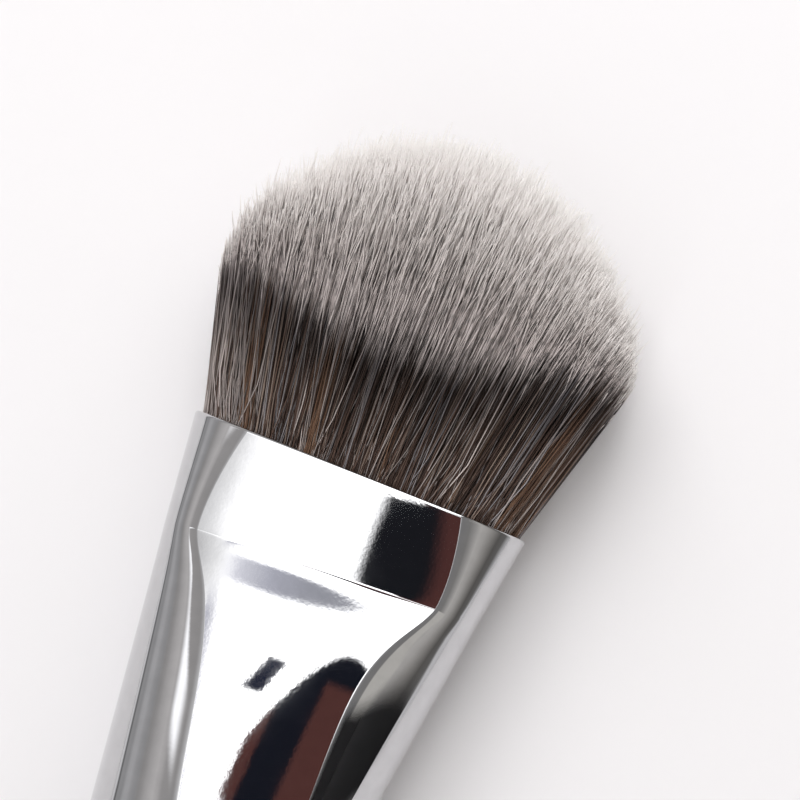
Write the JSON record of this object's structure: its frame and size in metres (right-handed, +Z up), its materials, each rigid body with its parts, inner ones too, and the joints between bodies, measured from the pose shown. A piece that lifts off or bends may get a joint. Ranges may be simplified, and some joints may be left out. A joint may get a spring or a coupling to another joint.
{
  "type": "flat foundation brush",
  "caption": "Flat make-up brush with a dense domed two-tone tuft in a pressed chrome ferrule on a tapered handle, for spreading liquid or cream foundation.",
  "frame": {"origin": "middle of the bounding box's footprint, on the table that the brush lies on", "axes": "+Y along the brush from the tuft to the handle end, which leans 1.5 degrees as the brush rests on its tuft and its grip; +X across the width; +Z up through the thickness"},
  "size_m": [0.0316, 0.1782, 0.0172],
  "materials": {
    "chrome": "mirror plating",
    "lacquered_wood": "gloss black lacquer",
    "resin": "cured resin",
    "thread": "waxed thread",
    "filament": "brown filament with pale tips"
  },
  "bodies": {
    "root": {"ferrule": "chrome", "handle": "lacquered_wood", "tenon_glue": "resin", "root_plug": "resin", "root_binding": "thread", "bristles_upper_face": "filament", "bristles_upper_core": "filament", "bristles_lower_core": "filament", "bristles_lower_face": "filament"}
  },
  "joints": []
}
